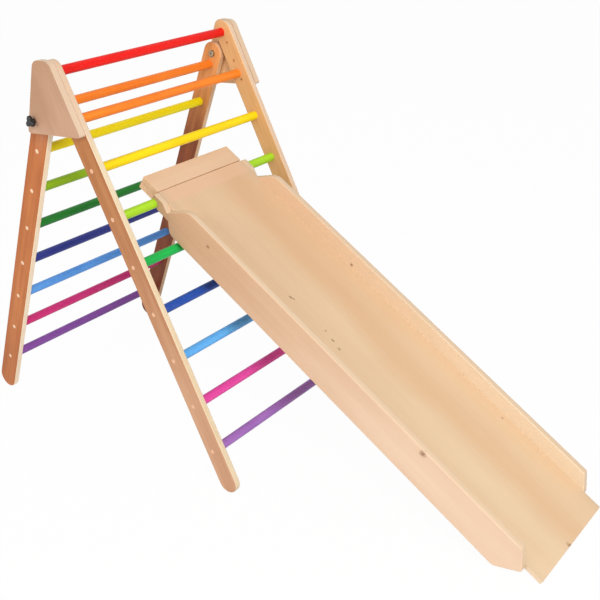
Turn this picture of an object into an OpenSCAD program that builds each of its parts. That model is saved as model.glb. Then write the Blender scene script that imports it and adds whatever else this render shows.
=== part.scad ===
// Folding climbing triangle for children, with a slide that hooks over one of its rungs.
// Origin: on the floor, in the middle of the footprint.
// +X is the way the slide runs, +Z is up, left is -Y.

/* [Ladders] */
// Clear width between the two rails of a ladder
inside_width = 600; // [450:10:800]
// Distance from rung to rung, measured along the rails
rung_pitch = 130; // [115:1:150]
// Distance from the top bar to the first front rung, measured along the rails
top_pitch = 125.5; // [115:0.5:150]
// Distance of the front rungs behind the middle line of their rails
rung_setback = 6; // [0:0.5:8]
// Diameter of every rung
rung_d = 25; // [22:1:30]
// Depth of the blind socket that holds a rung's end
socket_depth = 8; // [6:1:9]
// Thickness of the rails
rail_t = 18; // [17:1:24]
// Width of the front rails
front_rail_w = 60; // [54:1:66]
// Width of the rear rails
rear_rail_w = 67; // [54:1:70]
// Rounding of the rails' long edges
rail_edge_r = 3; // [1:0.5:5]
// Lean of the front ladder from upright, in degrees
front_lean = 25.2; // [22:0.1:28]
// Lean of the rear ladder from upright, in degrees
rear_lean = 24.3; // [20:0.1:28]
// Distance from the lowest front rung to the centre of the foot's rounding
front_foot_over = 91; // [60:1:120]
// Depth of the flat sole cut on each round foot
sole_cut = 1; // [0.5:0.5:3]

/* [Fold joint] */
// Distance of the pivot below the top bar, measured along the front rail
pivot_down = 40.4; // [38:0.1:60]
// Gap between the rails' edges when the ladders are folded flat
folded_gap = 6.8; // [3:0.1:10]
// Distance from the pivot to the first rear rung
pivot_to_rung = 35; // [32:1:60]
// Thickness of the spacer washers between the rear rails and the gusset plates
spacer_t = 2.6; // [1:0.2:4]
// Running gap between a rear rail and its spacer washer
side_gap = 0.4; // [0.3:0.1:1]
// Diameter of the pivot bolts and of the knobs' studs
bolt_d = 8; // [6:1:10]
// Radial clearance of each running fit
running_fit = 0.05; // [0.02:0.01:0.1]

/* [Gusset plates] */
// Thickness of the gusset plates
plate_t = 18; // [15:1:24]
// Height of the gusset plates, down to their lower rear corner
plate_h = 191; // [175:1:230]
// Height of the plate's lower front corner above its lower rear corner
plate_low_rise = 14; // [0:1:25]
// Distance from the top bar's axis back to the plate's upper rear corner
plate_top_back = 36; // [34:1:60]
// Distance from the top bar's axis back to the plate's lower rear corner
plate_low_back = 102; // [95:1:125]
// Radius of the plate's upper corners
plate_top_r = 27; // [10:1:28]
// Radius of the plate's lower corners
plate_low_r = 7; // [3:1:15]

/* [Lock knobs] */
// Distance of the lock knob below the pivot, measured along the rear rail
knob_down = 65; // [60:0.1:75]
// Overall diameter of the three-lobed knob
knob_d = 33; // [28:1:40]
// Thickness of the knob's lobes
knob_h = 12; // [10:1:16]

/* [Slide] */
// Number of the front rung that carries the slide, counted from the top bar
hook_rung = 3; // [2:1:4]
// Distance from that rung's axis to the foot of the slide
slide_length = 1325; // [1250:1:1450]
// Overall width of the slide
slide_w = 360; // [300:1:420]
// Distance of the slide's middle from the ladder's middle
slide_shift = 3; // [-25:1:25]
// Thickness of the side walls
wall_t = 18; // [15:1:20]
// Depth of the side walls
wall_h = 106; // [90:1:130]
// Height of the side walls above the bed
wall_rise = 42; // [25:1:50]
// Thickness of the bed board
bed_t = 12; // [12:1:18]
// Depth of the grooves in the walls that hold the bed
groove_depth = 5; // [3:0.5:8]
// Length of the hook board, which reaches behind the rung
hook_board_l = 61; // [50:1:66]
// Thickness of the hook board
hook_board_t = 19.3; // [18:0.1:22]
// Thickness of the hook cleat and of the battens
batten_t = 18; // [15:1:20]
// Length of bed that shows past the ends of the walls at the foot
toe_show = 30; // [20:1:50]

/* [Fastenings] */
// Diameter of the wooden cover plugs on the rails
plug_d = 12; // [10:1:14]
// Thickness of the wooden cover plugs
plug_t = 3; // [2:0.5:4]
// Shank diameter of the wood screws
screw_d = 4.5; // [4:0.5:5]

/* [Hidden] */
$fn = 96;
rung_count = 8;

seat_gap = 0.3;
eps = 1;

wood = [0.93, 0.79, 0.62];
plywood = [0.95, 0.83, 0.68];
plug_wood = [0.97, 0.88, 0.76];
steel = [0.75, 0.76, 0.78];
brass = [0.80, 0.66, 0.38];
black_plastic = [0.05, 0.05, 0.055];
top_bar_colour = [0.93, 0.10, 0.08];
front_colours = [
    [0.98, 0.45, 0.12], [0.99, 0.82, 0.02], [0.58, 0.83, 0.10], [0.10, 0.66, 0.30],
    [0.15, 0.27, 0.68], [0.28, 0.60, 0.92], [0.93, 0.20, 0.52], [0.52, 0.33, 0.70]
];
rear_colours = [
    [0.98, 0.45, 0.12], [0.99, 0.82, 0.02], [0.52, 0.74, 0.12], [0.08, 0.52, 0.22],
    [0.15, 0.27, 0.68], [0.28, 0.60, 0.92], [0.93, 0.20, 0.52], [0.52, 0.33, 0.70]
];

// Ladders
rail_in = inside_width / 2;
front_r = front_rail_w / 2;
rear_r = rear_rail_w / 2;
front_foot = top_pitch + (rung_count - 1) * rung_pitch + front_foot_over;
top_bar_z = front_r - sole_cut + front_foot * cos(front_lean) - rung_setback * sin(front_lean);
pivot_back = front_r - rung_setback + rear_r + folded_gap;
pivot_dx = pivot_down * sin(front_lean) - pivot_back * cos(front_lean);
pivot_z = top_bar_z - pivot_down * cos(front_lean) - pivot_back * sin(front_lean);
rear_foot = (pivot_z - rear_r + sole_cut) / cos(rear_lean);
rear_reach = rear_foot * sin(rear_lean) + rear_r - pivot_dx;
rear_rail_in = rail_in - spacer_t - side_gap;

// Rung screws: the head fills what the plug leaves of the counterbore
rung_screw_d = 5;
rung_screw_l = 45;
head_h = rail_t - socket_depth - 2.5 - plug_t;
counterbore = plug_t + head_h;

// Gusset plates
plate_in = rail_in + rail_t;
plate_out = plate_in + plate_t;
plate_top = top_bar_z + rung_setback * sin(front_lean) + front_r;
plate_bottom = plate_top - plate_h;
insert_d = bolt_d + 4;
pivot_insert_l = plate_t - 4;
plate_screw_places = [34, 88, 146];
plate_screw_l = rail_t + plate_t - 6;
bolt_head_d = 2 * bolt_d + 2;
bolt_head_h = 4;
washer_t = 1.5;
washer_d = 2.75 * bolt_d;

// Lock knobs
knob_gap = 0.6;
knob_neck = 6;
lobe_r = 0.23 * knob_d;
lobe_at = knob_d / 2 - lobe_r;
hub_r = 0.3 * knob_d;

// Slide: u runs down it from the hook rung's axis, h stands square off it
hook_place = top_pitch + (hook_rung - 1) * rung_pitch;
hook_dx = hook_place * sin(front_lean);
hook_z = top_bar_z - hook_place * cos(front_lean);
bed_low = rung_d / 2 + seat_gap;
bed_top = bed_low + bed_t;
wall_top = bed_top + wall_rise;
wall_low = wall_top - wall_h;
slope = asin(hook_z / norm([slide_length, bed_low])) + atan2(bed_low, slide_length);
slide_reach = hook_dx + slide_length * cos(slope) + bed_top * sin(slope);
bed_half = slide_w / 2 - wall_t;

// The origin is midway between the rear feet's backs and the slide's end
top_bar_x = (rear_reach - slide_reach) / 2;
pivot_x = top_bar_x + pivot_dx;
hook_x = top_bar_x + hook_dx;
wall_end_x = hook_x + slide_length * cos(slope) + bed_low * sin(slope) - toe_show;
groove_from = 75;
notch_r = bed_low;
wall_rake = 14;
brow_r = min(50, wall_h / 2 - 1);
heel_r = min(48, wall_h / 2 - 1);
foot_r = 44;
chin = [50, 11.5];
seam = 2.5;
bed_start = -notch_r + seam;
tongue_l = 20;
tongue_t = bed_t / 2;
hook_low = bed_top - hook_board_t;
batten_w = 40;
hook_batten_w = 30;
batten_places = [330, 700, 1070];
screw_inset = 30;

function unit(v) = v / norm(v);
function to_slide(x, z) = [
    (x - hook_x) * cos(slope) + (hook_z - z) * sin(slope),
    (x - hook_x) * sin(slope) - (hook_z - z) * cos(slope)
];

// ---- placing ----

// x runs down the front ladder from the top bar, z points out of its climbing side
module on_front() {
    translate([top_bar_x, 0, top_bar_z]) rotate([0, 90 - front_lean, 0]) children();
}

// x runs down the rear ladder from the pivot, z points in towards the front ladder
module on_rear() {
    translate([pivot_x, 0, pivot_z]) rotate([0, 90 + rear_lean, 0]) children();
}

// x is u and z is h
module on_slide() {
    translate([hook_x, slide_shift, hook_z]) rotate([0, slope, 0]) children();
}

// Draws its children, made for the right side, on the right or on the left
module on_side(right) {
    mirror([0, right ? 0 : 1, 0]) children();
}

module both_sides() {
    for (right = [true, false]) on_side(right) children();
}

// A board whose outline lies in x and z, between y and y + t
module board(y, t) {
    translate([0, y + t, 0]) rotate([90, 0, 0]) linear_extrude(t) children();
}

// A cylinder along +Y
module y_rod(y, length, r) {
    translate([0, y, 0]) rotate([-90, 0, 0]) cylinder(h = length, r = r);
}

// A convex outline, each corner rounded by an arc of its own radius
module rounded_outline(corners, radii) {
    n = len(corners);
    hull() for (i = [0:n - 1]) {
        last = unit(corners[(i + n - 1) % n] - corners[i]);
        next = unit(corners[(i + 1) % n] - corners[i]);
        half = acos(last * next) / 2;
        translate(corners[i] + unit(last + next) * radii[i] / sin(half)) circle(r = radii[i]);
    }
}

// ---- ladder parts ----

// Section of a rail, from its middle to its rounded edge
module rail_half_section(w) {
    rounded = w / 2 - rail_edge_r;
    translate([0, -rail_t / 2]) square([rounded, rail_t]);
    translate([0, rail_edge_r - rail_t / 2]) square([w / 2, rail_t - 2 * rail_edge_r]);
    for (side = [-1, 1])
        translate([rounded, side * (rail_t / 2 - rail_edge_r)]) circle(r = rail_edge_r);
}

// A rail with round ends about (0, 0) and (length, 0), its thickness centred on y = 0
module rail_blank(length, w) {
    rotate([90, 0, 90]) linear_extrude(length) {
        rotate(90) rail_half_section(w);
        rotate(-90) rail_half_section(w);
    }
    for (end = [0, length])
        translate([end, 0, 0]) rotate([90, 0, 0]) rotate_extrude() rail_half_section(w);
}

// What a rung, its screw and its plug take out of a rail whose inner face is at y = 0
module rung_housing() {
    y_rod(-eps, socket_depth + eps, rung_d / 2);
    y_rod(0, rail_t, rung_screw_d / 2);
    y_rod(rail_t - counterbore, counterbore + eps, plug_d / 2);
}

module rung(colour, half_length) {
    color(colour) difference() {
        y_rod(-half_length, 2 * half_length, rung_d / 2);
        both_sides() y_rod(half_length - rung_screw_l, rung_screw_l + eps, rung_screw_d / 2);
    }
}

// Screws and plugs at both ends of the rungs at the given places along a ladder
module rung_screws(places, inner) {
    color(steel) for (place = places) translate([place, 0, 0]) both_sides() {
        y_rod(inner + socket_depth - rung_screw_l, rung_screw_l + rail_t - socket_depth - counterbore,
            rung_screw_d / 2);
        difference() {
            y_rod(inner + rail_t - counterbore, head_h, plug_d / 2 - 0.5);
            y_rod(inner + rail_t - plug_t - 2, 2 + eps, 2, $fn = 6);
        }
    }
}

module rung_plugs(places, inner) {
    color(plug_wood) for (place = places) translate([place, 0, 0]) both_sides()
        y_rod(inner + rail_t - plug_t, plug_t, plug_d / 2);
}

module below_floor() {
    translate([-front_foot, -front_foot, -front_foot])
        cube([2 * front_foot, 2 * front_foot, front_foot]);
}

front_places = concat([0], [for (i = [1:rung_count]) top_pitch + (i - 1) * rung_pitch]);
rear_places = [for (i = [1:rung_count]) pivot_to_rung + (i - 1) * rung_pitch];

module front_rail(right) {
    color(wood) on_side(right) difference() {
        on_front() difference() {
            translate([0, rail_in + rail_t / 2, rung_setback]) rail_blank(front_foot, front_rail_w);
            for (place = front_places) translate([place, rail_in, 0]) rung_housing();
            for (place = plate_screw_places) translate([place, 0, rung_setback]) plate_screw();
        }
        below_floor();
    }
}

module rear_rail(right) {
    color(wood) on_side(right) difference() {
        on_rear() difference() {
            translate([0, rear_rail_in + rail_t / 2, 0]) rail_blank(rear_foot, rear_rail_w);
            for (place = rear_places) translate([place, rear_rail_in, 0]) rung_housing();
            y_rod(rear_rail_in - eps, rail_t + 2 * eps, bolt_d / 2 + running_fit);
        }
        below_floor();
    }
}

module top_bar() {
    on_front() rung(top_bar_colour, rail_in + socket_depth);
}

module front_rung(i) {
    on_front() translate([front_places[i], 0, 0]) rung(front_colours[i - 1], rail_in + socket_depth);
}

module rear_rung(i) {
    on_rear() translate([rear_places[i - 1], 0, 0])
        rung(rear_colours[i - 1], rear_rail_in + socket_depth);
}

module front_rung_screws() {
    on_front() rung_screws(front_places, rail_in);
}

module front_rung_plugs() {
    on_front() rung_plugs(front_places, rail_in);
}

module rear_rung_screws() {
    on_rear() rung_screws(rear_places, rear_rail_in);
}

module rear_rung_plugs() {
    on_rear() rung_plugs(rear_places, rear_rail_in);
}

// ---- gusset plates and fold joint ----

// The plate's front edge lies flush with the front rail's front edge
function rail_front_x(z) =
    top_bar_x + (top_bar_z - z) * tan(front_lean) + (front_r + rung_setback) / cos(front_lean);

module gusset_plate(right) {
    front_bottom = plate_bottom + plate_low_rise;
    corners = [
        [top_bar_x - plate_top_back, plate_top], [rail_front_x(plate_top), plate_top],
        [rail_front_x(front_bottom), front_bottom], [top_bar_x - plate_low_back, plate_bottom]
    ];
    color(wood) on_side(right) difference() {
        board(plate_in, plate_t)
            rounded_outline(corners, [plate_top_r, plate_top_r, plate_low_r, plate_low_r]);
        on_front() for (place = plate_screw_places) translate([place, 0, rung_setback])
            plate_screw();
        on_rear() y_rod(plate_in - eps, pivot_insert_l + eps, insert_d / 2);
        on_rear() translate([knob_down, 0, 0]) y_rod(plate_in - eps, plate_t + 2 * eps, insert_d / 2);
    }
}

// A screw from the rail's inner face into the plate
module plate_screw() {
    y_rod(rail_in, plate_screw_l, screw_d / 2);
    translate([0, rail_in, 0]) rotate([-90, 0, 0])
        cylinder(h = screw_d / 2, r1 = screw_d, r2 = screw_d / 2);
}

module plate_screws() {
    color(steel) both_sides() on_front() for (place = plate_screw_places)
        translate([place, 0, rung_setback]) difference() {
            plate_screw();
            y_rod(rail_in - eps, 2 + eps, 1.7, $fn = 6);
        }
}

// The bolt's head is inside the ladder, so the plate's outer face stays smooth
module pivot_bolt(right) {
    under_head = rear_rail_in - seat_gap - washer_t;
    color(steel) on_side(right) on_rear() difference() {
        union() {
            y_rod(under_head, plate_in + pivot_insert_l - under_head, bolt_d / 2);
            y_rod(under_head - bolt_head_h + 1, bolt_head_h - 1, bolt_head_d / 2);
            translate([0, under_head - bolt_head_h, 0]) rotate([-90, 0, 0])
                cylinder(h = 1, r1 = bolt_head_d / 2 - 1, r2 = bolt_head_d / 2);
        }
        y_rod(under_head - bolt_head_h - eps, 3 + eps, bolt_d / 3, $fn = 6);
    }
}

// One washer under each bolt's head, and a spacer that keeps the rear rail off the plate
module pivot_washers() {
    from = rear_rail_in - seat_gap - washer_t;
    color(steel) both_sides() on_rear() difference() {
        union() {
            y_rod(from, washer_t, washer_d / 2);
            y_rod(plate_in - spacer_t, spacer_t, washer_d / 2);
        }
        y_rod(from - eps, plate_in - from + 2 * eps, bolt_d / 2);
    }
}

// Blind inserts hold the pivot bolts, through ones guide the knobs' studs
module threaded_inserts() {
    color(brass) both_sides() on_rear() {
        difference() {
            y_rod(plate_in, pivot_insert_l, insert_d / 2);
            y_rod(plate_in - eps, pivot_insert_l + 2 * eps, bolt_d / 2);
        }
        translate([knob_down, 0, 0]) difference() {
            y_rod(plate_in, plate_t, insert_d / 2);
            y_rod(plate_in - eps, plate_t + 2 * eps, bolt_d / 2 + running_fit);
        }
    }
}

// A neck and a hub with three lobes that stand 1 mm back from its faces
module lock_knob(right) {
    color(black_plastic) on_side(right) on_rear()
        translate([knob_down, plate_out + knob_gap, 0]) rotate([-90, 90, 0]) difference() {
            union() {
                cylinder(h = knob_neck + 1, r = 7);
                translate([0, 0, knob_neck]) cylinder(h = knob_h, r = hub_r);
                for (turn = [0:2]) rotate(120 * turn + 60)
                    translate([lobe_at, 0, knob_neck + 1]) cylinder(h = knob_h - 2, r = lobe_r);
            }
            translate([0, 0, -eps]) cylinder(h = knob_neck + knob_h + 2 * eps, r = bolt_d / 2);
        }
}

// The stud ends just short of the rear rail, which it clamps when it is screwed in
module lock_stud(right) {
    color(steel) on_side(right) on_rear() translate([knob_down, 0, 0]) {
        from = rear_rail_in + rail_t + seat_gap;
        y_rod(from, plate_out + knob_gap + knob_neck + knob_h + 0.5 - from, bolt_d / 2);
    }
}

// ---- slide ----

// One side wall: body whose foot stands flat on the floor, and neck that reaches over the rung
module slide_wall_blank() {
    foot = to_slide(wall_end_x, 0);
    heel = [(hook_z + wall_low * cos(slope)) / sin(slope), wall_low];
    end_u = (wall_end_x - hook_x - wall_top * sin(slope)) / cos(slope) - wall_rake;
    throat = [chin[0] + (chin[1] - wall_low) * tan(slope), wall_low];
    brow = [chin[0] + wall_top - chin[1], wall_top];
    neck_u = chin[0] + 20;
    neck = [
        [-10, bed_top], [chin[0] / 2, bed_top], [chin[0], chin[1] - 3.5], [neck_u, 20],
        [neck_u, -8], [0, -8], [0, 0], [-10, 9]
    ];
    difference() {
        union() {
            board(bed_half, wall_t) rounded_outline(
                [chin, brow, [end_u, wall_top], foot, heel, throat],
                [4, brow_r, 8, foot_r, heel_r, 20]
            );
            board(bed_half, wall_t) polygon(neck);
        }
        rung_notch();
    }
}

// The notch is open downwards, so the slide lifts off its rung
module rung_notch() {
    y_rod(bed_half - eps, wall_t + 2 * eps, notch_r);
    translate([-notch_r - seat_gap, bed_half - eps, -2 * notch_r])
        cube([2 * (notch_r + seat_gap), wall_t + 2 * eps, 2 * notch_r]);
}

module slide_wall(right) {
    color(plywood) on_slide() difference() {
        on_side(right) slide_wall_blank();
        slide_bed_blank();
    }
}

// The bed runs between the walls, stands in their grooves and has a tongue for the hook board
module slide_bed_blank() {
    groove_to = slide_length - toe_show - 40;
    translate([bed_start, -bed_half, bed_low]) cube([slide_length - bed_start, 2 * bed_half, bed_t]);
    translate([groove_from, -bed_half - groove_depth, bed_low])
        cube([groove_to - groove_from, 2 * (bed_half + groove_depth), bed_t]);
    translate([bed_start - tongue_l, 6 - bed_half, bed_low])
        cube([tongue_l + eps, 2 * bed_half - 12, tongue_t]);
}

module slide_bed() {
    color(plywood) on_slide() difference() {
        slide_bed_blank();
        slide_screw_shanks();
    }
}

module hook_board() {
    color(plywood) on_slide() difference() {
        translate([-notch_r - hook_board_l, -bed_half, hook_low])
            cube([hook_board_l, 2 * bed_half, hook_board_t]);
        slide_bed_blank();
        slide_screw_shanks();
    }
}

module batten(u, w, half, top) {
    color(wood) on_slide() difference() {
        translate([u, -half, top - batten_t]) cube([w, 2 * half, batten_t]);
        slide_screw_shanks();
    }
}

module hook_cleat() {
    batten(-notch_r - hook_board_l, hook_board_l, bed_half, hook_low);
}

module hook_batten() {
    batten(notch_r, hook_batten_w, bed_half, bed_low);
}

module bed_batten(i) {
    batten(batten_places[i], batten_w, bed_half, bed_low);
}

// Every screw goes up from below, at [u, top of its batten, how deep it bites]
slide_screw_rows = concat(
    [[-notch_r - hook_board_l / 2 - 10, hook_low, 12], [notch_r + hook_batten_w / 2, bed_low, 8]],
    [for (u = batten_places) [u + batten_w / 2, bed_low, 8]]
);

module slide_screw_shanks() {
    for (row = slide_screw_rows) for (y = [-1, 0, 1] * (bed_half - screw_inset))
        translate([row[0], y, row[1] - batten_t]) {
            cylinder(h = batten_t + row[2], r = screw_d / 2);
            cylinder(h = screw_d / 2, r1 = screw_d, r2 = screw_d / 2);
        }
}

module slide_screws() {
    color(steel) on_slide() difference() {
        slide_screw_shanks();
        for (row = slide_screw_rows) for (y = [-1, 0, 1] * (bed_half - screw_inset))
            translate([row[0], y, row[1] - batten_t - eps]) cylinder(h = 2 + eps, r = 1.7, $fn = 6);
    }
}

front_rail(false);  // front_rail_left
front_rail(true);  // front_rail_right
top_bar();
for (i = [1:rung_count]) front_rung(i);
gusset_plate(false);  // gusset_plate_left
gusset_plate(true);  // gusset_plate_right
front_rung_screws();
front_rung_plugs();
plate_screws();
pivot_bolt(false);  // pivot_bolt_left
pivot_bolt(true);  // pivot_bolt_right
pivot_washers();
threaded_inserts();
rear_rail(false);  // rear_rail_left
rear_rail(true);  // rear_rail_right
for (i = [1:rung_count]) rear_rung(i);
rear_rung_screws();
rear_rung_plugs();
lock_knob(false);  // lock_knob_left
lock_stud(false);  // lock_stud_left
lock_knob(true);  // lock_knob_right
lock_stud(true);  // lock_stud_right
slide_bed();
slide_wall(false);  // slide_wall_left
slide_wall(true);  // slide_wall_right
hook_board();
hook_cleat();
hook_batten();
bed_batten(0);  // bed_batten_upper
bed_batten(1);  // bed_batten_middle
bed_batten(2);  // bed_batten_lower
slide_screws();
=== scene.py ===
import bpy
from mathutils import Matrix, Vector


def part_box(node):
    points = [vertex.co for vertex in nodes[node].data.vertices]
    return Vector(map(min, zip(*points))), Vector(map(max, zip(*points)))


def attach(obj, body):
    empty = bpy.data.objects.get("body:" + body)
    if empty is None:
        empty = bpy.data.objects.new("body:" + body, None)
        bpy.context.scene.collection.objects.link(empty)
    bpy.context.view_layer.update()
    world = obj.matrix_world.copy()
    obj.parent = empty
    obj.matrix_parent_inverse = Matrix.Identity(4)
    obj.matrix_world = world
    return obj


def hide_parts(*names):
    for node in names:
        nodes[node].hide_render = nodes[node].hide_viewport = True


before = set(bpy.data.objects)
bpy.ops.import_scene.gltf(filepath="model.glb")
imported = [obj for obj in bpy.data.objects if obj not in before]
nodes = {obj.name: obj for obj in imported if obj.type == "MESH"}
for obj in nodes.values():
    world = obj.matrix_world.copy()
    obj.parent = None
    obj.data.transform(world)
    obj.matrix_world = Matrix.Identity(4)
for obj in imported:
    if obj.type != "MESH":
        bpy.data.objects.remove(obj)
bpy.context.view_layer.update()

import math

import bpy
import numpy as np
from mathutils import Matrix, Vector

print("frame loaded:", len(nodes), "nodes")


def addObject(name, data):
    item = bpy.data.objects.new(name, data)
    bpy.context.scene.collection.objects.link(item)
    return item


camera = {
    "place": (1.5136, -1.7165, 1.5062),  # metres
    "azimuth": 39.459,  # degrees
    "elevation": 25.718,
    "roll": -2.591,
    "lens": 55.702,  # millimetres
    "sensor": 36.0,
    "farEnd": 50.0,  # metres
}


def placeCamera():
    a, e, roll = (math.radians(camera[key]) for key in ("azimuth", "elevation", "roll"))
    back = Vector((math.sin(a) * math.cos(e), -math.cos(a) * math.cos(e), math.sin(e)))
    level = Vector((math.cos(a), math.sin(a), 0.0))
    above = back.cross(level)
    right = level * math.cos(roll) + above * math.sin(roll)
    up = above * math.cos(roll) - level * math.sin(roll)
    data = bpy.data.cameras.new("photoCamera")
    data.sensor_width = camera["sensor"]
    data.lens = camera["lens"]
    data.clip_end = camera["farEnd"]
    item = addObject("photoCamera", data)
    turn = Matrix((right, up, back)).transposed().to_4x4()
    item.matrix_world = Matrix.Translation(camera["place"]) @ turn
    bpy.context.scene.camera = item


placeCamera()
print("camera placed")


def addNode(tree, kind, wires=None, **settings):
    # wires: the input's name or number -> a socket to link, or a value to set
    item = tree.nodes.new(kind)
    for key, value in settings.items():
        setattr(item, key, value)
    for key, value in (wires or {}).items():
        if isinstance(value, bpy.types.NodeSocket):
            tree.links.new(value, item.inputs[key])
        else:
            item.inputs[key].default_value = value
    return item


def mathNode(tree, operation, *values, clamp=False):
    wires = dict(enumerate(values))
    return addNode(tree, "ShaderNodeMath", wires, operation=operation, use_clamp=clamp).outputs[0]


def emptyTree(owner):
    owner.use_nodes = True
    owner.node_tree.nodes.clear()
    return owner.node_tree


studio = {
    "ambient": 0.42,
    "backdrop": 1.0,  # how bright the white is that the camera sees
    "white": (1.0, 1.0, 1.0, 1.0),
    "lamps": [
        # name, place, size, watts, colour
        ("keyLamp", (3.2, -1.9, 3.2), 1.6, 143.0, (1.0, 0.99, 0.975)),
        ("sideLamp", (-0.6, -4.2, 2.2), 2.6, 82.0, (1.0, 0.99, 0.985)),
    ],
    "aimAt": (0.1, 0.0, 0.45),
    "floorSize": 40.0,
    "floorColour": (0.86, 0.86, 0.86, 1.0),
    "floorGlow": 0.97,  # how much of the floor seen by the camera is plain white
}


def hangLamp(name, place, size, watts, colour):
    data = bpy.data.lights.new(name, "AREA")
    data.size = size
    data.energy = watts
    data.color = colour
    lamp = addObject(name, data)
    lamp.location = place
    lamp.rotation_mode = "QUATERNION"
    lamp.rotation_quaternion = (Vector(studio["aimAt"]) - lamp.location).to_track_quat("-Z", "Y")


def seenDirectly(tree):
    # 1 on camera, glossy and transmission rays
    ray = addNode(tree, "ShaderNodeLightPath").outputs
    total = mathNode(tree, "ADD", ray["Is Camera Ray"], ray["Is Glossy Ray"], clamp=True)
    return mathNode(tree, "ADD", total, ray["Is Transmission Ray"], clamp=True)


def hangBackdrop():
    world = bpy.data.worlds.new("studio")
    bpy.context.scene.world = world
    tree = emptyTree(world)
    ambient, backdrop = (
        addNode(tree, "ShaderNodeBackground", {"Color": studio["white"], "Strength": studio[key]}).outputs[0]
        for key in ("ambient", "backdrop")
    )
    mix = addNode(tree, "ShaderNodeMixShader", {0: seenDirectly(tree), 1: ambient, 2: backdrop})
    addNode(tree, "ShaderNodeOutputWorld", {"Surface": mix.outputs[0]})


def layFloor():
    half = studio["floorSize"] / 2
    corners = [(-half, -half, 0), (half, -half, 0), (half, half, 0), (-half, half, 0)]
    mesh = bpy.data.meshes.new("studioFloor")
    mesh.from_pydata(corners, [], [(0, 1, 2, 3)])
    floor = addObject("studioFloor", mesh)
    material = bpy.data.materials.new("paleFloor")
    tree = emptyTree(material)
    paint = addNode(tree, "ShaderNodeBsdfDiffuse", {"Color": studio["floorColour"]})
    glow = addNode(tree, "ShaderNodeEmission", {"Color": studio["white"], "Strength": studio["backdrop"]})
    share = mathNode(tree, "MULTIPLY", seenDirectly(tree), studio["floorGlow"])
    mix = addNode(tree, "ShaderNodeMixShader", {0: share, 1: paint.outputs[0], 2: glow.outputs[0]})
    addNode(tree, "ShaderNodeOutputMaterial", {"Surface": mix.outputs[0]})
    mesh.materials.append(material)


for lamp in studio["lamps"]:
    hangLamp(*lamp)
hangBackdrop()
layFloor()
bpy.context.scene.view_settings.view_transform = "Standard"
print("studio lit")

screenCurve = {"knee": 0.04045, "slope": 12.92, "offset": 0.055, "power": 2.4}


def linear(red, green, blue):
    # a picture's colour, 0 to 255, to the linear values that a shader takes
    share = np.array([red, green, blue]) / 255.0
    low = share / screenCurve["slope"]
    high = ((share + screenCurve["offset"]) / (1 + screenCurve["offset"])) ** screenCurve["power"]
    return (*np.where(share <= screenCurve["knee"], low, high), 1.0)


def vectorNode(tree, operation, *values):
    outputs = addNode(tree, "ShaderNodeVectorMath", dict(enumerate(values)), operation=operation).outputs
    return outputs["Value" if operation in ("LENGTH", "DOT_PRODUCT") else "Vector"]


def noiseOf(tree, vector, stretch, detail, roughness=0.55, distortion=0.0):
    return addNode(tree, "ShaderNodeTexNoise", {
        "Vector": vectorNode(tree, "MULTIPLY", vector, stretch), "Scale": 1.0,
        "Detail": detail, "Roughness": roughness, "Distortion": distortion,
    }).outputs["Fac"]


def spread(tree, value, low, high, toLow=0.0, toHigh=1.0, smooth=False):
    # where the value goes from low to high, the result goes from toLow to toHigh
    return addNode(tree, "ShaderNodeMapRange", {
        "Value": value, "From Min": low, "From Max": high, "To Min": toLow, "To Max": toHigh,
    }, interpolation_type="SMOOTHSTEP" if smooth else "LINEAR").outputs["Result"]


def patterned(tree, vector, patterns):
    # Each pattern's "noise" is its stretch along the three axes, detail, roughness and distortion, and its
    # "range" spreads that noise. Both come back by the patterns' names.
    noise = {name: noiseOf(tree, vector, *pattern["noise"]) for name, pattern in patterns.items()}
    ranged = {name: spread(tree, noise[name], *pattern["range"]) for name, pattern in patterns.items()}
    return noise, ranged


def mixColour(tree, share, first, second):
    # a mix node's colours are its inputs 6 and 7 and its output 2
    return addNode(tree, "ShaderNodeMix", {0: share, 6: first, 7: second}, data_type="RGBA").outputs[2]


def newGroup(name, inputs, outputs):
    # inputs and outputs: the socket's label -> Color, Float or Vector
    group = bpy.data.node_groups.new(name, "ShaderNodeTree")
    for way, sockets in (("INPUT", inputs), ("OUTPUT", outputs)):
        for label, kind in sockets.items():
            group.interface.new_socket(label, in_out=way, socket_type="NodeSocket" + kind)
    return group, group.nodes.new("NodeGroupInput").outputs


grainFigure = {
    "patterns": {
        "bands": {"noise": ((1.1, 12.0, 12.0), 2.0, 0.45, 0.8), "range": (0.3, 0.7, -0.5, 0.5)},
        "cloud": {"noise": ((3.5, 14.0, 14.0), 4.0, 0.6, 0.4), "range": (0.3, 0.7, -0.3, 0.3)},
        "streaks": {"noise": ((2.4, 110.0, 110.0), 5.0, 0.6, 0.25), "range": (0.3, 0.7, -0.5, 0.5)},
        "pores": {"noise": ((20.0, 900.0, 900.0), 2.0, 0.5), "range": (0.45, 0.75, -0.1, 0.35)},
    },
    "tone": 0.45,  # between pale and dark, where nothing darkens or lightens the board
    "sheen": (0.25, 0.75, -0.05, 0.07),  # how the streaks roughen the board
    "relief": 0.5,
}


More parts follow.
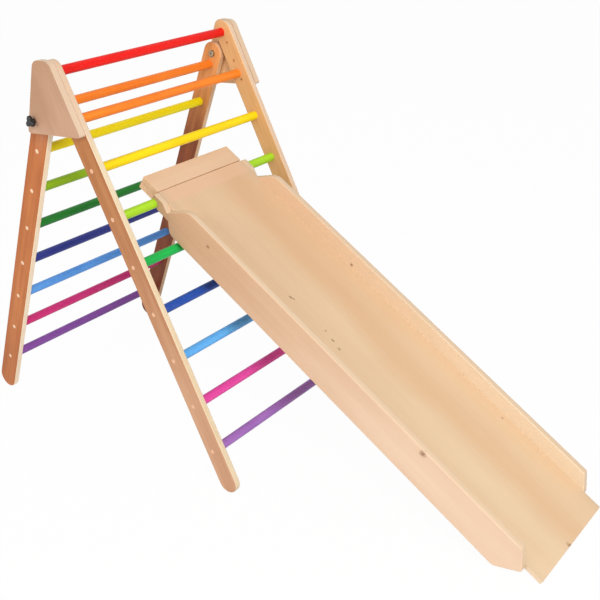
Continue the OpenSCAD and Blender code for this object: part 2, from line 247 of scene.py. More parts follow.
def makeBoardGrain():
    # wood whose fibres run along x: broad soft figure, streaks and fine pores
    group, start = newGroup("boardGrain", {
        "Vector": "Vector", "Pale": "Color", "Dark": "Color",
        "Figure": "Float", "Streak": "Float", "Gloss": "Float",
    }, {"Color": "Color", "Roughness": "Float", "Height": "Float"})
    noise, ranged = patterned(group, start["Vector"], grainFigure["patterns"])
    figure = mathNode(group, "ADD", ranged["bands"], ranged["cloud"])
    lines = mathNode(group, "ADD", ranged["streaks"], ranged["pores"])
    tone = mathNode(group, "MULTIPLY_ADD", figure, start["Figure"], grainFigure["tone"])
    tone = mathNode(group, "MULTIPLY_ADD", lines, start["Streak"], tone, clamp=True)
    sheen = spread(group, noise["streaks"], *grainFigure["sheen"])
    relief = mathNode(group, "ADD", noise["streaks"], noise["pores"])
    addNode(group, "NodeGroupOutput", {
        "Color": mixColour(group, tone, start["Pale"], start["Dark"]),
        "Roughness": mathNode(group, "ADD", start["Gloss"], sheen),
        "Height": mathNode(group, "MULTIPLY", relief, grainFigure["relief"]),
    })
    return group


fadeEdge = {"uneven": {"noise": ((3.0, 20.0, 20.0), 3.0), "range": (0.2, 0.8, -0.12, 0.12)}}


def makeFade():
    # from one colour to another between two distances along a board, with an uneven boundary
    group, start = newGroup("fade", {
        "Along": "Float", "Vector": "Vector", "From": "Float", "To": "Float",
        "First": "Color", "Last": "Color",
    }, {"Color": "Color"})
    _, ranged = patterned(group, start["Vector"], fadeEdge)
    place = mathNode(group, "ADD", start["Along"], ranged["uneven"])
    share = spread(group, place, start["From"], start["To"], smooth=True)
    addNode(group, "NodeGroupOutput", {"Color": mixColour(group, share, start["First"], start["Last"])})
    return group


veneers = {
    "patterns": {
        "ragged": {"noise": ((30.0, 700.0, 30.0), 3.0), "range": (0.4, 0.7, -0.05, 0.3)},
        "cloud": {"noise": ((9.0, 60.0, 9.0), 3.0), "range": (0.3, 0.7, -0.1, 0.25)},
    },
    "turnedAway": (0.75, 0.45),  # the veneers come in as a face turns from the way that the broad faces look
    "perMetre": 690.0,  # one about every 1.4 mm
    "lines": (-0.3, 0.5, 0.0, 0.5),
}


def makePlyEdge():
    # on faces that look sideways out of a board, thin veneers lie one on another across its thickness
    group, start = newGroup("plyEdge", {
        "Color": "Color", "Across": "Float", "Facing": "Float", "Vector": "Vector",
        "Pale": "Color", "Dark": "Color", "Strength": "Float",
    }, {"Color": "Color"})
    edge = spread(group, mathNode(group, "ABSOLUTE", start["Facing"]), *veneers["turnedAway"])
    _, ranged = patterned(group, start["Vector"], veneers["patterns"])
    turns = mathNode(group, "MULTIPLY", start["Across"], 2 * math.pi * veneers["perMetre"])
    lines = spread(group, mathNode(group, "SINE", turns), *veneers["lines"])
    dark = mathNode(group, "ADD", mathNode(group, "ADD", lines, ranged["ragged"]), ranged["cloud"])
    dark = mathNode(group, "MULTIPLY", dark, start["Strength"], clamp=True)
    layers = mixColour(group, dark, start["Pale"], start["Dark"])
    addNode(group, "NodeGroupOutput", {"Color": mixColour(group, edge, start["Color"], layers)})
    return group


paintCoat = {
    "patterns": {
        "streaks": {"noise": ((160.0, 5.0, 160.0), 5.0, 0.6, 0.3), "range": (0.35, 0.72, 0.0, 0.5)},
        "cloud": {"noise": ((9.0, 7.0, 9.0), 3.0), "range": (0.35, 0.7, 0.0, 0.35)},
        "specks": {"noise": ((420.0, 60.0, 420.0), 2.0), "range": (0.68, 0.76)},
    },
    "roughness": (0.3, 0.7, 0.36, 0.5),
    "bare": (232, 190, 146),  # the wood that shows where the paint is worn
    "wear": 0.2,
}


def makeHandledPaint():
    # brushed paint on a turned rung: faint streaks along it, and a little wear where hands and feet go
    group, start = newGroup("handledPaint", {
        "Vector": "Vector", "Paint": "Color", "Deep": "Color", "Bare": "Color", "Wear": "Float",
    }, {"Color": "Color", "Roughness": "Float", "Height": "Float"})
    noise, ranged = patterned(group, start["Vector"], paintCoat["patterns"])
    share = mathNode(group, "ADD", ranged["streaks"], ranged["cloud"], clamp=True)
    paint = mixColour(group, share, start["Paint"], start["Deep"])
    bare = mathNode(group, "MULTIPLY", ranged["specks"], start["Wear"], clamp=True)
    addNode(group, "NodeGroupOutput", {
        "Color": mixColour(group, bare, paint, start["Bare"]),
        "Roughness": spread(group, noise["streaks"], *paintCoat["roughness"]),
        "Height": noise["streaks"],
    })
    return group


boardGrain = makeBoardGrain()
fade = makeFade()
plyEdge = makePlyEdge()
handledPaint = makeHandledPaint()
print("shader groups made")


def middleOf(node):
    low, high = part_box(node)
    return (low + high) / 2


lean = {"front": 64.8, "rear": 114.3, "slide": 32.286}  # degrees that each slopes down towards +X
hookRung = middleOf("front_rung_3")
slideMiddle = middleOf("slide_bed").y
slideTilt = math.radians(lean["slide"])

onFront = {"slope": lean["front"], "start": tuple(middleOf("top_bar"))}
onSlideBoards = {"slope": lean["slide"], "start": tuple(hookRung)}
railGrain = {"figure": 0.8, "streak": 0.5, "gloss": 0.46}

# Tones are a pale and a dark one, the first pair at the board's start. Where there is a last pair, they fade
# to it between two distances in metres. A flat board lies on the slide's plane, the others stand upright.
# Knots are x, y and z from the board's start, and the radius.
woods = {
    "frontRailWood": {
        **onFront, **railGrain,
        "tones": {"first": ((181, 121, 70), (153, 91, 44)), "last": ((198, 152, 118), (174, 122, 88)),
                  "between": (0.15, 0.95)},
        "ply": {"first": ((226, 201, 173), (206, 166, 134)), "last": ((232, 218, 188), (212, 183, 145)),
                "between": (0.16, 0.25)},
        "plyStrength": 1.0,
    },
    "frontRailPaleWood": {
        **onFront, **railGrain,
        "tones": {"first": ((225, 176, 119), (201, 146, 89))},
        "ply": {"first": ((234, 206, 178), (214, 176, 142))}, "plyStrength": 1.0,
    },
    "rearRailWood": {
        "slope": lean["rear"], "start": tuple(middleOf("pivot_bolt_left")), **railGrain,
        "tones": {"first": ((190, 130, 96), (166, 99, 62)), "last": ((193, 117, 60), (160, 82, 31)),
                  "between": (0.0, 0.2)},
        "ply": {"first": ((254, 240, 213), (234, 198, 160))}, "plyStrength": 1.0,
    },
    # pale at the rail's top, turning much darker between 0.05 and 0.35 m down it
    "rearRailDarkeningWood": {
        "slope": lean["rear"], "start": tuple(middleOf("pivot_bolt_right")), **railGrain,
        "tones": {"first": ((235, 165, 98), (206, 129, 66)), "last": ((149, 77, 37), (112, 49, 20)),
                  "between": (0.05, 0.35)},
        "ply": {"first": ((238, 202, 164), (206, 156, 112))}, "plyStrength": 1.0,
    },
    "plateWood": {
        **onFront, "figure": 0.5, "streak": 0.25, "gloss": 0.5,
        "tones": {"first": ((180, 141, 111), (166, 125, 94)), "last": ((196, 157, 131), (180, 137, 109)),
                  "between": (-0.02, 0.2)},
        "ply": {"first": ((223, 196, 169), (206, 173, 143))}, "plyStrength": 0.7,
    },
    # painted light: a paler, warmer copy of plateWood for the far plate, which stands in shade
    "plateLitWood": {
        **onFront, "figure": 0.5, "streak": 0.3, "gloss": 0.5,
        "tones": {"first": ((222, 178, 132), (204, 156, 108))},
        "ply": {"first": ((228, 200, 170), (208, 174, 142))}, "plyStrength": 0.7,
    },
    "slideWallWood": {
        **onSlideBoards, "figure": 0.45, "streak": 0.16, "gloss": 0.46,
        "tones": {"first": ((205, 166, 132), (189, 147, 111)), "last": ((226, 198, 172), (212, 178, 148)),
                  "between": (0.05, 1.1)},
        # painted light: the walls' inner faces are painted paler
        "inside": {"first": (222, 191, 158), "last": (227, 207, 177), "within": 0.1635, "share": 0.75},
        "knots": ((0.941, -0.1755, 0.057, 0.0060), (0.200, -0.177, 0.031, 0.0035),
                  (0.437, 0.165, 0.030, 0.0030)),
        "ply": {"first": ((222, 195, 164), (212, 181, 148))}, "plyStrength": 0.6,
    },
    "hookWood": {
        **onSlideBoards, "flat": True, "acrossSlide": True, "figure": 0.5, "streak": 0.22, "gloss": 0.46,
        "tones": {"first": ((231, 196, 165), (217, 178, 141))},
        "ply": {"first": ((236, 196, 158), (208, 162, 118))}, "plyStrength": 0.8,
    },
    "battenWood": {
        **onSlideBoards, "flat": True, "acrossSlide": True, "figure": 0.6, "streak": 0.4, "gloss": 0.52,
        "tones": {"first": ((228, 186, 142), (206, 158, 112)), "last": ((226, 184, 142), (202, 154, 110)),
                  "between": (-0.3, 0.3)},
        "ply": {"first": ((236, 200, 160), (206, 160, 116))}, "plyStrength": 0.6,
    },
}


def objectPlace(tree):
    return addNode(tree, "ShaderNodeTexCoord").outputs["Object"]


def boardPlace(tree, spec):
    # Object coordinates from the board's start, whole and as x, y and z. x runs down the slope, along the
    # fibres. On a board that lies across the slide, x and y change places, so that the fibres run across.
    along = addNode(tree, "ShaderNodeMapping", {
        "Vector": objectPlace(tree), "Location": spec["start"],
        "Rotation": (0.0, math.radians(spec["slope"]), 0.0),
    }, vector_type="TEXTURE").outputs[0]
    xyz = addNode(tree, "ShaderNodeSeparateXYZ", {0: along}).outputs
    if spec.get("acrossSlide"):
        along = addNode(tree, "ShaderNodeCombineXYZ", {0: xyz["Y"], 1: xyz["X"], 2: xyz["Z"]}).outputs[0]
        xyz = addNode(tree, "ShaderNodeSeparateXYZ", {0: along}).outputs
    return along, xyz


def faded(tree, board, between, first, last):
    along, xyz = board
    return addNode(tree, "ShaderNodeGroup", {
        "Along": xyz["X"], "Vector": along, "From": between[0], "To": between[1],
        "First": linear(*first), "Last": linear(*last),
    }, node_tree=fade).outputs["Color"]


def tonePair(tree, board, first, last=None, between=None):
    if last is None:
        return [linear(*tone) for tone in first]
    return [faded(tree, board, between, *tones) for tones in zip(first, last)]


def grained(tree, board, spec):
    pale, dark = tonePair(tree, board, **spec["tones"])
    return addNode(tree, "ShaderNodeGroup", {
        "Vector": board[0], "Pale": pale, "Dark": dark,
        "Figure": spec["figure"], "Streak": spec["streak"], "Gloss": spec["gloss"],
    }, node_tree=boardGrain).outputs


def withVeneers(tree, board, colour, spec):
    # the veneers show on each face that doesn't look the way that the broad faces do
    along, xyz = board
    pale, dark = tonePair(tree, board, **spec["ply"])
    thickness, broad = "Y", (0.0, 1.0, 0.0)
    if spec.get("flat"):
        thickness, broad = "Z", (math.sin(slideTilt), 0.0, math.cos(slideTilt))
    normal = addNode(tree, "ShaderNodeTexCoord").outputs["Normal"]
    return addNode(tree, "ShaderNodeGroup", {
        "Color": colour, "Across": xyz[thickness], "Facing": vectorNode(tree, "DOT_PRODUCT", normal, broad),
        "Vector": along, "Pale": pale, "Dark": dark, "Strength": spec["plyStrength"],
    }, node_tree=plyEdge).outputs["Color"]


knotLook = {
    "colour": (120, 74, 44), "share": 0.75,
    "radiiOut": (1.1, 0.35),  # where the brown begins, and where it is at its full share
    "stretch": (0.55, 1.0, 0.6),
    "outline": {"wobble": {"noise": ((260.0, 420.0, 420.0), 3.0), "range": (0.2, 0.8, -0.5, 0.5)}},
}


def withKnots(tree, board, colour, knots):
    # small brown knots, drawn out along the fibres: x, y and z from the board's start, and the radius
    _, ranged = patterned(tree, board[0], knotLook["outline"])
    for *place, radius in knots:
        offset = vectorNode(tree, "SUBTRACT", board[0], place)
        offset = vectorNode(tree, "MULTIPLY", offset, [factor / radius for factor in knotLook["stretch"]])
        far = mathNode(tree, "ADD", vectorNode(tree, "LENGTH", offset), ranged["wobble"])
        share = spread(tree, far, *knotLook["radiiOut"], 0.0, knotLook["share"])
        colour = mixColour(tree, share, colour, linear(*knotLook["colour"]))
    return colour


def fromMiddle(tree, board):
    # how far a place is from the slide's middle line
    return mathNode(tree, "ABSOLUTE", mathNode(tree, "SUBTRACT", board[1]["Y"], slideMiddle))


def woodLook(tree, spec):
    board = boardPlace(tree, spec)
    grain = grained(tree, board, spec)
    colour = withVeneers(tree, board, grain["Color"], spec)
    if "inside" in spec:  # the faces that look at each other across the slide are painted paler: painted light
        inside = spec["inside"]
        onInside = mathNode(tree, "LESS_THAN", fromMiddle(tree, board), inside["within"])
        share = mathNode(tree, "MULTIPLY", onInside, inside["share"])
        paler = faded(tree, board, spec["tones"]["between"], inside["first"], inside["last"])
        colour = mixColour(tree, share, colour, paler)
    if "knots" in spec:
        colour = withKnots(tree, board, colour, spec["knots"])
    return colour, grain["Roughness"], grain["Height"]


bedBoard = {
    **onSlideBoards, "flat": True, "figure": 0.35, "streak": 0.2, "gloss": 0.42,
    "tones": {"first": ((224, 192, 156), (213, 177, 139)), "last": ((229, 203, 168), (218, 187, 151)),
              "between": (0.05, 1.15)},
    # a broad darker band, partly wood figure and partly painted shade, darker still beyond it towards the far
    # wall
    "figureAndShade": {"colour": (212, 166, 123), "share": 0.54, "beyond": 0.5, "width": 0.075,
              "top": 0.085, "foot": 0.03, "settles": 0.7},  # it drifts from y = top to y = foot
    "figureAndShadeEdge": {"sway": {"noise": ((3.2, 5.0, 5.0), 2.0), "range": (0.2, 0.8, -0.03, 0.03)}},
    "head": {"colour": (227, 184, 151), "share": 0.7, "until": (0.026, 0.040)},  # it fades out between these
    "seam": {"colour": (206, 179, 148), "share": 0.5, "from": 0.135, "to": 0.160},  # painted shade on the bed beside the walls
    "knots": ((0.428, -0.087, 0.025, 0.0036), (0.436, -0.083, 0.025, 0.0024), (0.553, -0.083, 0.025, 0.0026),
              (0.585, -0.089, 0.025, 0.0034), (0.612, -0.095, 0.025, 0.0030), (1.006, 0.150, 0.025, 0.0026),
              (1.325, -0.0120, 0.021, 0.0068)),
    "ply": {"first": ((222, 198, 168), (208, 179, 147))}, "plyStrength": 0.7,
}


def bedLook(tree, spec):
    # soft figure, a broad darker band that drifts to the middle, partly wood figure and partly painted shade,
    # darker still towards the far wall, a rosier head, and painted shade beside the walls
    board = boardPlace(tree, spec)
    along, xyz = board
    grain = grained(tree, board, spec)
    figureAndShade, head, seam = spec["figureAndShade"], spec["head"], spec["seam"]
    _, ranged = patterned(tree, along, spec["figureAndShadeEdge"])
    drift = spread(tree, xyz["X"], 0.0, figureAndShade["settles"], figureAndShade["top"], figureAndShade["foot"])
    aside = mathNode(tree, "SUBTRACT", mathNode(tree, "SUBTRACT", xyz["Y"], drift), ranged["sway"])
    near = spread(tree, aside, -figureAndShade["width"], 0.0, smooth=True)
    far = figureAndShade["share"] * figureAndShade["beyond"]
    beyond = spread(tree, aside, 0.0, figureAndShade["width"], figureAndShade["share"], far, smooth=True)
    begins, ends = head["until"]
    marks = [
        # the broad band: partly wood figure, partly painted shade
        (mathNode(tree, "MULTIPLY", near, beyond), figureAndShade),
        (spread(tree, xyz["X"], ends, begins, 0.0, head["share"], smooth=True), head),
        # painted shade on the bed beside the walls
        (spread(tree, fromMiddle(tree, board), seam["from"], seam["to"], 0.0, seam["share"]), seam),
    ]
    colour = grain["Color"]
    for share, mark in marks:
        colour = mixColour(tree, share, colour, linear(*mark["colour"]))
    colour = withKnots(tree, board, colour, spec["knots"])
    return withVeneers(tree, board, colour, spec), grain["Roughness"], grain["Height"]


paints = {
    # name: paint, deeper tone
    "redPaint": ((243, 20, 8), (203, 9, 4)),
    "orangePaint": ((251, 143, 42), (232, 108, 22)),
    "yellowPaint": ((254, 226, 4), (242, 200, 2)),
    # painted light: the front rungs' yellow made lighter for the rear rung
    "yellowLitPaint": ((255, 243, 8), (255, 222, 4)),
    "limePaint": ((182, 230, 50), (148, 202, 28)),
    "leafPaint": ((154, 196, 28), (120, 164, 14)),
    "greenPaint": ((32, 196, 90), (14, 158, 64)),
    "darkGreenPaint": ((30, 130, 44), (12, 97, 28)),
    "darkBluePaint": ((42, 88, 184), (24, 61, 150)),
    # painted shade: the front rungs' dark blue made darker for the rear rung
    "darkBlueInShadePaint": ((48, 58, 146), (27, 37, 113)),
    # painted light: the rear rung's light blue made lighter for the front rung
    "lightBlueLitPaint": ((106, 190, 254), (76, 157, 239)),
    "lightBluePaint": ((102, 170, 246), (72, 139, 224)),
    "pinkPaint": ((240, 84, 178), (212, 55, 146)),
    # painted shade: the front rungs' pink made darker for the rear rung
    "pinkInShadePaint": ((216, 52, 128), (192, 29, 101)),
    "purplePaint": ((174, 122, 202), (144, 91, 176)),
    # painted shade: the front rungs' purple made darker for the rear rung
    "purpleInShadePaint": ((142, 84, 171), (116, 62, 148)),
}


def paintLook(tree, tones):
    paint, deep = tones
    coat = addNode(tree, "ShaderNodeGroup", {
        "Vector": objectPlace(tree), "Paint": linear(*paint), "Deep": linear(*deep),
        "Bare": linear(*paintCoat["bare"]), "Wear": paintCoat["wear"],
    }, node_tree=handledPaint).outputs
    return coat["Color"], coat["Roughness"], coat["Height"]


plugs = {
    # name: paler and darker rings
    "plugWood": ((236, 207, 175), (216, 176, 140)),
    "rosyPlugWood": ((226, 178, 144), (204, 150, 114)),
}
plugRings = {
    "stretch": (420.0, 40.0, 420.0), "wave": {"Scale": 0.6, "Distortion": 3.0, "Detail": 2.0},
    "tone": (0.2, 0.9, 0.0, 0.6), "roughness": (0.0, 1.0, 0.42, 0.55),
}


def endGrainLook(tree, tones):
    where = vectorNode(tree, "MULTIPLY", objectPlace(tree), plugRings["stretch"])
    rings = addNode(tree, "ShaderNodeTexWave", {
        "Vector": where, **plugRings["wave"],
    }, wave_type="BANDS", bands_direction="DIAGONAL").outputs["Fac"]
    pale, dark = (linear(*tone) for tone in tones)
    colour = mixColour(tree, spread(tree, rings, *plugRings["tone"]), pale, dark)
    return colour, spread(tree, rings, *plugRings["roughness"]), rings


def metal(pale, dark, roughness):
    return {"tones": (pale, dark), "patterns": {
        "fine": {"noise": ((900.0, 90.0, 900.0), 4.0), "range": (0.3, 0.7, *roughness)},
        "cloud": {"noise": ((120.0, 120.0, 120.0), 2.0), "range": (0.35, 0.7)},
    }}


metals = {
    "zincSteel": metal((186, 168, 140), (142, 122, 96), (0.38, 0.56)),
    "yellowSteel": metal((214, 160, 104), (186, 132, 82), (0.42, 0.60)),
    "brass": metal((214, 180, 106), (176, 140, 74), (0.24, 0.42)),
}
mouldings = {
    "knobPlastic": {"tones": ((10, 10, 11), (22, 21, 22)), "patterns": {
        "fine": {"noise": ((1500.0, 1500.0, 1500.0), 2.0), "range": (0.3, 0.7, 0.4, 0.55)},
        "cloud": {"noise": ((90.0, 90.0, 90.0), 2.0), "range": (0.3, 0.7)},
    }},
}


def hardwareLook(tree, spec):
    # a cloud of two tones, under a fine pattern that is both its roughness and its relief
    noise, ranged = patterned(tree, objectPlace(tree), spec["patterns"])
    first, second = (linear(*tone) for tone in spec["tones"])
    return mixColour(tree, ranged["cloud"], first, second), ranged["fine"], noise["fine"]


surfaces = {
    # the shader's own values, and the bump's strength and distance in metres
    "board": {"shader": {"Specular IOR Level": 0.28, "Coat Weight": 0.05, "Coat Roughness": 0.35},
              "bump": {"Strength": 0.2, "Distance": 0.0005}},
    "bed": {"shader": {"Specular IOR Level": 0.3, "Coat Weight": 0.06, "Coat Roughness": 0.35},
            "bump": {"Strength": 0.18, "Distance": 0.0004}},
    "paint": {"shader": {"Specular IOR Level": 0.3}, "bump": {"Strength": 0.2, "Distance": 0.0004}},
    "endGrain": {"shader": {}, "bump": {"Strength": 0.2, "Distance": 0.0003}},
    "metal": {"shader": {"Metallic": 1.0}, "bump": {"Strength": 0.15, "Distance": 0.0002}},
    "plastic": {"shader": {}, "bump": {"Strength": 0.3, "Distance": 0.0003}},
}


def makeMaterial(name, surface, look, spec):
    # look gives the colour, roughness and height that change over the surface
    material = bpy.data.materials.new(name)
    tree = emptyTree(material)
    colour, roughness, height = look(tree, spec)
    bump = addNode(tree, "ShaderNodeBump", {"Height": height, **surface["bump"]})
    shader = addNode(tree, "ShaderNodeBsdfPrincipled", {
        "Base Color": colour, "Roughness": roughness, "Normal": bump.outputs[0], **surface["shader"],
    })
    addNode(tree, "ShaderNodeOutputMaterial", {"Surface": shader.outputs[0]})
    return material


materials = {}
for surface, look, specs in (
    ("board", woodLook, woods),
    ("bed", bedLook, {"slideBedWood": bedBoard}),
    ("paint", paintLook, paints),
    ("endGrain", endGrainLook, plugs),
    ("metal", hardwareLook, metals),
    ("plastic", hardwareLook, mouldings),
):
    for name, spec in specs.items():
        materials[name] = makeMaterial(name, surfaces[surface], look, spec)
print("materials made:", len(materials))

# the front light-blue rung takes a lighter copy of the rear rung's light blue: painted light
frontPaints = ["orangePaint", "yellowPaint", "limePaint", "greenPaint",
               "darkBluePaint", "lightBlueLitPaint", "pinkPaint", "purplePaint"]
# the rear dark blue, pink and purple are darker copies of the front rungs' paints: painted shade
# the rear yellow is a lighter copy of the front rungs' yellow: painted light
rearPaints = ["orangePaint", "yellowLitPaint", "leafPaint", "darkGreenPaint",
              "darkBlueInShadePaint", "lightBluePaint", "pinkInShadePaint", "purpleInShadePaint"]
finishes = {
    "frontRailWood": ["front_rail_left"],
    "frontRailPaleWood": ["front_rail_right"],
    "rearRailWood": ["rear_rail_left"],
    "rearRailDarkeningWood": ["rear_rail_right"],
    "plateWood": ["gusset_plate_left"],
    "plateLitWood": ["gusset_plate_right"],
    "slideWallWood": ["slide_wall_left", "slide_wall_right"],
    "slideBedWood": ["slide_bed"],
    "hookWood": ["hook_board", "hook_cleat"],
    "battenWood": ["hook_batten", "bed_batten_upper", "bed_batten_middle", "bed_batten_lower"],
    "redPaint": ["top_bar"],
    "plugWood": ["rear_rung_plugs"],
    "rosyPlugWood": ["front_rung_plugs"],
    "yellowSteel": ["front_rung_screws", "rear_rung_screws", "plate_screws", "slide_screws"],
    "zincSteel": ["pivot_bolt_left", "pivot_bolt_right", "pivot_washers",
                  "lock_stud_left", "lock_stud_right"],
    "brass": ["threaded_inserts"],
    "knobPlastic": ["lock_knob_left", "lock_knob_right"],
}


def dress(node, material):
    slots = nodes[node].data.materials
    for index in range(len(slots)):
        slots[index] = materials[material]


for material, names in finishes.items():
    for name in names:
        dress(name, material)
for number, (front, rear) in enumerate(zip(frontPaints, rearPaints), start=1):
    dress(f"front_rung_{number}", front)
    dress(f"rear_rung_{number}", rear)
print("nodes dressed")


def outwards(mesh):
    # six times the signed volume is the sum of a . (b x c) over the triangles; a shell inside out is turned
    mesh.calc_loop_triangles()
    corners = np.empty(len(mesh.loop_triangles) * 3, np.int32)
    mesh.loop_triangles.foreach_get("vertices", corners)
    points = np.empty(len(mesh.vertices) * 3)
    mesh.vertices.foreach_get("co", points)
    a, b, c = points.reshape(-1, 3)[corners.reshape(-1, 3)].transpose(1, 0, 2)
    if (a * np.cross(b, c)).sum() < 0:
        mesh.flip_normals()


def addShell(name, points, flatEnds):
    # Rows of points become a closed shell: four-sided faces lie between neighbouring rows and go round the
    # columns, and one face closes each end.
    rows, columns = points.shape[:2]
    index = np.arange(rows * columns).reshape(rows, columns)
    across = np.roll(index, -1, axis=1)
    quads = np.stack([index[:-1], across[:-1], across[1:], index[1:]], axis=-1).reshape(-1, 4)
    ends = [index[0, ::-1].tolist(), index[-1].tolist()]
    mesh = bpy.data.meshes.new(name)
    mesh.from_pydata(points.reshape(-1, 3).tolist(), [], quads.tolist() + ends)
    smooth = np.ones(len(mesh.polygons), bool)
    smooth[-len(ends):] = not flatEnds
    mesh.polygons.foreach_set("use_smooth", smooth)
    mesh.update()
    outwards(mesh)
    return addObject(name, mesh)


def filleted(corners, radii, steps=9):
    # Each corner becomes an arc of its radius r. With unit vectors a and b to the neighbours and the angle 2t
    # between them, the arc's middle is at corner + r / sin(t) along a + b, and the arc swings from the foot
    # of the perpendicular on one side to the foot on the other.
    corners, radii = np.array(corners, float), np.array(radii, float)[:, None]
    a = np.roll(corners, 1, axis=0) - corners
    b = np.roll(corners, -1, axis=0) - corners
    a /= np.linalg.norm(a, axis=1, keepdims=True)
    b /= np.linalg.norm(b, axis=1, keepdims=True)
    half = np.arccos(np.clip((a * b).sum(axis=1, keepdims=True), -1, 1)) / 2
    bisector = (a + b) / np.linalg.norm(a + b, axis=1, keepdims=True)
    middle = corners + bisector * radii / np.sin(half)
    first = (corners + a * radii / np.tan(half) - middle)[:, None]
    last = (corners + b * radii / np.tan(half) - middle)[:, None]
    sweep = (np.pi - 2 * half)[:, :, None]
    share = np.linspace(0, 1, steps)[None, :, None]
    arc = (np.sin((1 - share) * sweep) * first + np.sin(share * sweep) * last) / np.sin(sweep)
    return middle[:, None] + arc


def easedSlab(outline, thickness, ease, steps=5):
    # A closed outline (x, y) carried through the board's thickness: at each step of the angle p from 0 to 90
    # degrees the outline moves inwards by ease * (1 - sin p) while the depth goes from the face to
    # ease * (1 - cos p) below it, so both rims are rounded. x, y and the depth come back as rows of points.
    back = np.roll(outline, 1, axis=0) - outline
    ahead = np.roll(outline, -1, axis=0) - outline
    back /= np.linalg.norm(back, axis=1, keepdims=True)
    ahead /= np.linalg.norm(ahead, axis=1, keepdims=True)
    n1 = np.stack([back[:, 1], -back[:, 0]], axis=1)
    n2 = np.stack([-ahead[:, 1], ahead[:, 0]], axis=1)
    inwards = (n1 + n2) / (1 + (n1 * n2).sum(axis=1, keepdims=True))
    angle = np.radians(np.linspace(0, 90, steps))
    inset = ease * (1 - np.sin(angle))
    depth = ease * (1 - np.cos(angle))
    inset = np.concatenate([inset, inset[::-1]])
    depth = np.concatenate([depth, thickness - depth[::-1]])
    ring = outline + inwards * inset[:, None, None]
    return ring[..., 0], ring[..., 1], np.broadcast_to(depth[:, None], ring.shape[:2])


def onSlide(u, y, h):
    # x is u * cos(tilt) + h * sin(tilt) and z is h * cos(tilt) - u * sin(tilt), both from the hook rung's
    # middle: u runs down the slide and h stands square off the bed
    x = hookRung.x + u * math.cos(slideTilt) + h * math.sin(slideTilt)
    z = hookRung.z - u * math.sin(slideTilt) + h * math.cos(slideTilt)
    return np.stack([x, y, z], axis=-1)


# metres along the slide and off its bed, with chin and foot as (u, h), and the notch's arc in degrees
slideWall = {
    "thickness": 0.018, "ease": 0.0018,
    "bedTop": 0.0248, "top": 0.0668, "low": -0.0392,
    "lip": -0.010, "lipHeight": 0.0113, "neck": 0.025, "neckBottom": -0.008,
    "chin": (0.0490, 0.0100), "brow": 0.1053,
    "heel": 1.2250, "foot": (1.2790, 0.0150), "end": 1.2414,
    "notch": 0.0128, "notchArc": (118, 4), "notchSteps": 20, "slotPlay": 0.0003,
    "radii": {"lip": 0.002, "neck": 0.010, "chin": 0.004, "brow": 0.050, "end": 0.008,
              "foot": 0.008, "heel": 0.022, "throat": 0.020, "slot": 0.001},
}


def slideOutline():
    # The wall's (u, h), corner by corner with its radius: down the lip, over the rung and down the slot,
    # along under the neck, plumb down to the sole, along it to the foot, up the raked end, and back along the
    # top to the chin and the neck. Plumb below the chin, u grows by the drop in h times tan(tilt).
    w, r = slideWall, slideWall["radii"]
    throat = w["chin"][0] + (w["chin"][1] - w["low"]) * math.tan(slideTilt)
    under = w["chin"][0] + (w["chin"][1] - w["neckBottom"]) * math.tan(slideTilt)
    slot = w["notch"] + w["slotPlay"]
    corners = [
        ((w["lip"], w["bedTop"]), r["lip"]),
        ((w["lip"], w["lipHeight"]), r["lip"]),
        ((slot, w["lipHeight"]), r["slot"]),
        ((slot, w["neckBottom"]), r["slot"]),
        ((under, w["neckBottom"]), r["chin"]),
        ((throat, w["low"]), r["throat"]),
        ((w["heel"], w["low"]), r["heel"]),
        (w["foot"], r["foot"]),
        ((w["end"], w["top"]), r["end"]),
        ((w["brow"], w["top"]), r["brow"]),
        (w["chin"], r["chin"]),
        ((w["neck"], w["bedTop"]), r["neck"]),
    ]
    arcs = filleted(*zip(*corners))
    swing = np.radians(np.linspace(*w["notchArc"], w["notchSteps"]))
    notch = w["notch"] * np.stack([np.cos(swing), np.sin(swing)], axis=1)  # in the third corner's place
    return np.concatenate([arcs[:2].reshape(-1, 2), notch, arcs[3:].reshape(-1, 2)])


def makeSlideWall(side):
    # the outline stands upright along the slide, and its depth runs across from the wall's near face
    node = "slide_wall_" + side
    low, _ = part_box(node)
    u, h, depth = easedSlab(slideOutline(), slideWall["thickness"], slideWall["ease"])
    wall = addShell("slideWall" + side.title(), onSlide(u, low.y + depth, h), flatEnds=True)
    wall.data.materials.append(materials["slideWallWood"])
    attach(wall, "slide")
    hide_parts(node)


hookBoard = {
    "from": -0.0738, "to": -0.0134,  # u behind the hook rung
    "low": 0.0055, "thickness": 0.0193, "ease": 0.0016, "corner": 0.003,
}


def makeHookBoard():
    # a rectangle with round corners that lies across the slide, and its depth runs off the bed
    spec = hookBoard
    low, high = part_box("hook_board")
    corners = [(spec["from"], low.y), (spec["to"], low.y), (spec["to"], high.y), (spec["from"], high.y)]
    outline = filleted(corners, [spec["corner"]] * len(corners)).reshape(-1, 2)
    u, y, depth = easedSlab(outline, spec["thickness"], spec["ease"])
    board = addShell("hookBoard", onSlide(u, y, spec["low"] + depth), flatEnds=True)
    board.data.materials.append(materials["hookWood"])
    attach(board, "slide")
    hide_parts("hook_board")


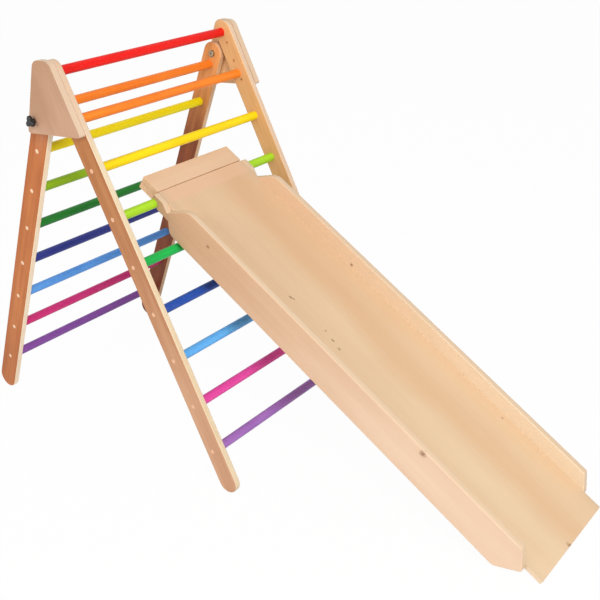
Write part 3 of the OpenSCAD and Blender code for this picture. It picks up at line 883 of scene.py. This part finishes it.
knob = {
    "lobes": 3, "valley": 0.0086, "reach": 0.0165, "lobeShape": 0.9, "columns": 96,
    "middle": 0.0120, "half": 0.0060, "roundness": 0.55, "flatness": 0.5,
    "sweep": (-58, 80, 30), "tip": (84, 87, 89, 89.8),  # degrees: from, to and in how many steps, then these
    "neck": 0.007, "neckLength": 0.0062, "neckRows": 5,
    "cap": 0.0014, "capEdge": 0.62, "capShape": 4,
}


def makeKnob(side):
    # Round the knob by the angle v the lobed radius is
    # valley + (reach - valley) * ((1 + cos 3v) / 2) ^ lobeShape. From back to front by the angle w it is
    # scaled by cos w ^ roundness, at a depth of middle + half * sin w ^ flatness, after a plain round neck.
    # Where the scale is below capEdge on the front, a low cap over the stud's end rises by
    # cap * (1 - (scale / capEdge) ^ capShape).
    node = "lock_knob_" + side
    low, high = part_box(node)
    middle = middleOf("lock_stud_" + side)
    inner, way = (high.y, -1.0) if side == "left" else (low.y, 1.0)
    turn = np.linspace(0, 2 * np.pi, knob["columns"], endpoint=False)
    wave = 0.5 + 0.5 * np.cos(knob["lobes"] * (turn + math.radians(lean["rear"] - 90.0)))
    lobed = knob["valley"] + (knob["reach"] - knob["valley"]) * wave ** knob["lobeShape"]
    sweep = np.radians([*np.linspace(*knob["sweep"]), *knob["tip"]])
    scale = np.cos(sweep) ** knob["roundness"]
    depth = knob["middle"] + knob["half"] * np.sign(sweep) * np.abs(np.sin(sweep)) ** knob["flatness"]
    depth += knob["cap"] * np.clip(1 - (scale / knob["capEdge"]) ** knob["capShape"], 0, 1) * (sweep > 0)
    radius = np.concatenate([np.full((knob["neckRows"], len(turn)), knob["neck"]), scale[:, None] * lobed])
    depth = np.concatenate([np.linspace(0, knob["neckLength"], knob["neckRows"]), depth])[:, None]
    points = np.stack([
        middle.x + radius * np.cos(turn),
        np.broadcast_to(inner + way * depth, radius.shape),
        middle.z + radius * np.sin(turn),
    ], axis=-1)
    item = addShell("starKnob" + side.title(), points, flatEnds=False)
    item.data.materials.append(materials["knobPlastic"])
    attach(item, "knob_" + side)
    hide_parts(node)


for side in ("left", "right"):
    makeSlideWall(side)
    makeKnob(side)
makeHookBoard()
print("new pieces made")
